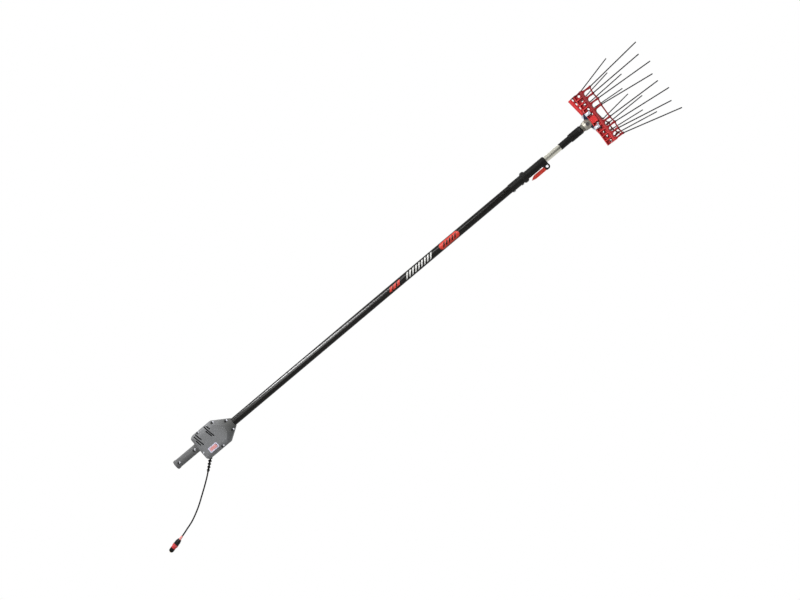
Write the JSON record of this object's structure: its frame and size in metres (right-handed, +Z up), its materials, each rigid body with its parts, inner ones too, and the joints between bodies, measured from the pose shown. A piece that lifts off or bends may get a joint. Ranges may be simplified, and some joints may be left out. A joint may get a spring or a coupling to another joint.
{
  "type": "electric olive harvester",
  "caption": "Electric olive harvester: corded motor grip, telescopic black pole with a red clamp lever, and a head whose red tined combs swing against each other.",
  "frame": {"origin": "middle of the rear hand grip, on the grip's own axis", "axes": "+Z up the pole to the combs, +X to the side that the cord leaves, +Y away from the switch face"},
  "size_m": [0.4344, 0.539, 2.8578],
  "materials": {
    "shell_grey": "fine grain",
    "screw_steel": "bright",
    "motor_steel": "satin",
    "magnet": "dull",
    "black_plastic": "satin",
    "carbon": "dull",
    "copper": "satin",
    "gear_steel": "satin",
    "cast_alu": "satin",
    "alu_tube": "drawn",
    "board_green": "satin",
    "lead_red": "satin",
    "switch_pale": "gloss",
    "red_gloss": "gloss",
    "red_plastic": "satin",
    "pink_rubber": "matt",
    "black_rubber": "matt",
    "black_paint": "gloss",
    "white_nylon": "satin",
    "bright_steel": "polished",
    "bronze": "satin",
    "brass": "bright",
    "carbon_rod": "satin"
  },
  "bodies": {
    "motor_unit": {"housing_front": "shell_grey", "housing_rear": "shell_grey", "housing_screws": "screw_steel", "motor_can": "motor_steel", "motor_magnets": "magnet", "motor_end_bell": "black_plastic", "motor_brushes": "carbon", "gear_case": "cast_alu", "gear_cover": "cast_alu", "shaft_bearings": "screw_steel", "control_board": "board_green", "board_parts": "black_plastic", "motor_leads": "lead_red", "switch_frame": "switch_pale", "strain_relief": "black_rubber", "power_cord": "black_rubber", "plug_sleeve": "pink_rubber", "plug_body": "black_plastic", "plug_ring": "red_gloss", "plug_nose": "black_plastic", "plug_contact": "brass", "outer_tube": "black_paint", "shaft_guides": "white_nylon", "clamp_body": "black_plastic", "clamp_shoe": "black_plastic", "clamp_screws": "screw_steel", "lever_pin": "bright_steel"},
    "rotor": {"motor_shaft": "gear_steel", "armature": "copper", "commutator": "copper", "motor_pinion": "gear_steel"},
    "lower_drive": {"lower_shaft": "alu_tube", "drive_gear": "gear_steel", "shaft_tip_bush": "white_nylon"},
    "rocker": {"switch_rocker": "red_gloss"},
    "lever": {"clamp_lever": "red_plastic"},
    "upper_pole": {"inner_tube": "alu_tube", "tube_guide": "white_nylon", "head_socket": "black_plastic", "rod_bush": "white_nylon", "gear_head": "cast_alu", "pivot_pin": "gear_steel", "pivot_clip": "gear_steel"},
    "upper_drive": {"drive_rod": "gear_steel", "crankshaft": "gear_steel"},
    "front_comb_arm": {"front_rocker": "bright_steel", "front_bush": "bronze", "front_comb": "red_plastic", "front_bolts": "bright_steel", "front_tines": "carbon_rod"},
    "rear_comb_arm": {"rear_rocker": "bright_steel", "rear_bush": "bronze", "rear_comb": "red_plastic", "rear_bolts": "bright_steel", "rear_tines": "carbon_rod"}
  },
  "joints": [
    {"name": "pole_extend", "type": "slide", "parent": "motor_unit", "child": "upper_pole", "axis": [0, 0, 1], "range_m": [-0.08, 0.65]},
    {"name": "lower_spin", "type": "hinge", "parent": "motor_unit", "child": "lower_drive", "pos_m": [0.015, 0, 0.2], "axis": [0, 0, 1], "continuous": true},
    {"name": "rotor_spin", "type": "hinge", "parent": "motor_unit", "child": "rotor", "pos_m": [-0.012, 0, 0.1], "axis": [0, 0, 1], "continuous": true},
    {"name": "upper_spin", "type": "hinge", "parent": "upper_pole", "child": "upper_drive", "pos_m": [0.015, 0, 2.1], "axis": [0, 0, 1], "continuous": true},
    {"name": "front_comb_swing", "type": "hinge", "parent": "upper_pole", "child": "front_comb_arm", "pos_m": [0.015, 0, 2.213], "axis": [0, 1, 0], "range_deg": [-12.41, 4.01]},
    {"name": "rear_comb_swing", "type": "hinge", "parent": "upper_pole", "child": "rear_comb_arm", "pos_m": [0.015, 0, 2.213], "axis": [0, 1, 0], "range_deg": [-4.01, 12.41]},
    {"name": "clamp_lever_turn", "type": "hinge", "parent": "motor_unit", "child": "lever", "pos_m": [0.0424, 0, 1.967], "axis": [0, -1, 0], "range_deg": [0, 110]},
    {"name": "switch_turn", "type": "hinge", "parent": "motor_unit", "child": "rocker", "pos_m": [0.0445, -0.0415, 0.118], "axis": [1, 0, 0], "range_deg": [-14, 0]}
  ],
  "couplings": [
    {"joint": "rotor_spin", "follows": "lower_spin", "ratio": -2},
    {"joint": "upper_spin", "follows": "lower_spin", "ratio": 1},
    {"joint": "rear_comb_swing", "follows": "front_comb_swing", "ratio": -1}
  ]
}
